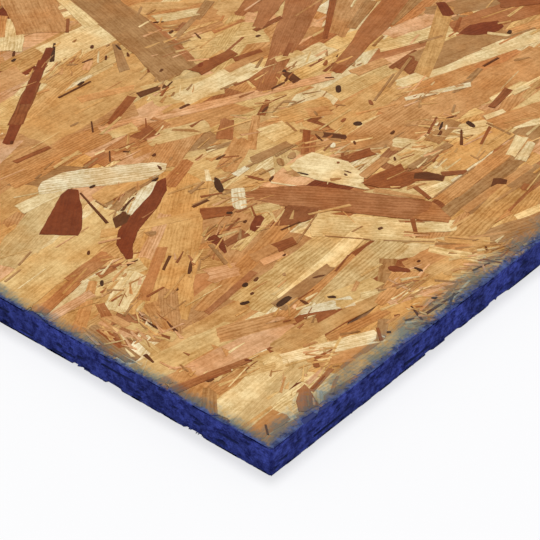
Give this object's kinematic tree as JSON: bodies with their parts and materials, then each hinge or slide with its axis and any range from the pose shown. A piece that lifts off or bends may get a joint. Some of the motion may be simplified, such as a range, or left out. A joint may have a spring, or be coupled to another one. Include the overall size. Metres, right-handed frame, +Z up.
{
  "type": "oriented strand board sheet",
  "caption": "Flat sheet of oriented strand board with square sawn edges and blue edge sealer.",
  "frame": {"origin": "centre of the underside, where the sheet rests on the floor", "axes": "+X along the sheet's length, +Y across its width, +Z up through its thickness"},
  "size_m": [2.44, 1.22, 0.018],
  "materials": {
    "strand_board": "pressed pale wood strands, matt to satin, blue sealer on the sawn edges"
  },
  "bodies": {
    "root": {"osb_panel": "strand_board"}
  },
  "joints": []
}
